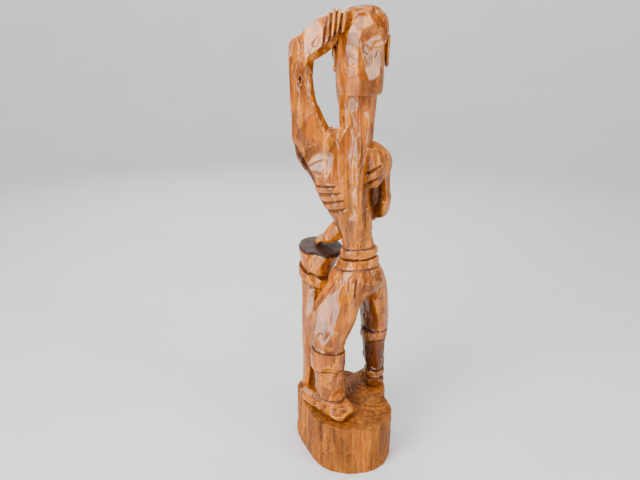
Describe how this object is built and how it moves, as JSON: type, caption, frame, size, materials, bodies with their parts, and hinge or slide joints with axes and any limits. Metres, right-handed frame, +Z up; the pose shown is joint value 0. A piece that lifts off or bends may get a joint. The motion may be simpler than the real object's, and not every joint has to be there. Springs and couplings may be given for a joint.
{
  "type": "carved ancestor figure",
  "caption": "Carved wooden standing drummer on a log plinth, one hand raised to the head and the other on a goblet drum.",
  "frame": {"origin": "centre of the flat underside of the plinth", "axes": "+Z up along the log, the figure faces -Y, its left side is +X"},
  "size_m": [0.1163, 0.132, 0.5],
  "materials": {
    "polished_wood": "satin",
    "pale_wood": "satin",
    "shaded_wood": "satin",
    "plinth_wood": "matte",
    "drum_dark": "satin"
  },
  "bodies": {
    "root": {"plinth": "plinth_wood", "left_foot": "polished_wood", "left_shin": "polished_wood", "left_knee_band": "pale_wood", "left_thigh": "polished_wood", "right_foot": "shaded_wood", "right_ankle_ring": "polished_wood", "right_shin": "shaded_wood", "right_knee_band": "polished_wood", "right_thigh": "polished_wood", "hips": "polished_wood", "lower_belt": "pale_wood", "upper_belt": "pale_wood", "torso": "polished_wood", "neck": "polished_wood", "face": "polished_wood", "hair_block": "polished_wood", "left_ear": "pale_wood", "right_ear": "pale_wood", "left_upper_arm": "polished_wood", "left_forearm": "polished_wood", "left_hand": "pale_wood", "right_upper_arm": "polished_wood", "right_forearm": "polished_wood", "right_hand": "polished_wood", "drum_head": "drum_dark", "drum_bowl": "pale_wood", "drum_band": "polished_wood", "drum_stem": "polished_wood"}
  },
  "joints": []
}
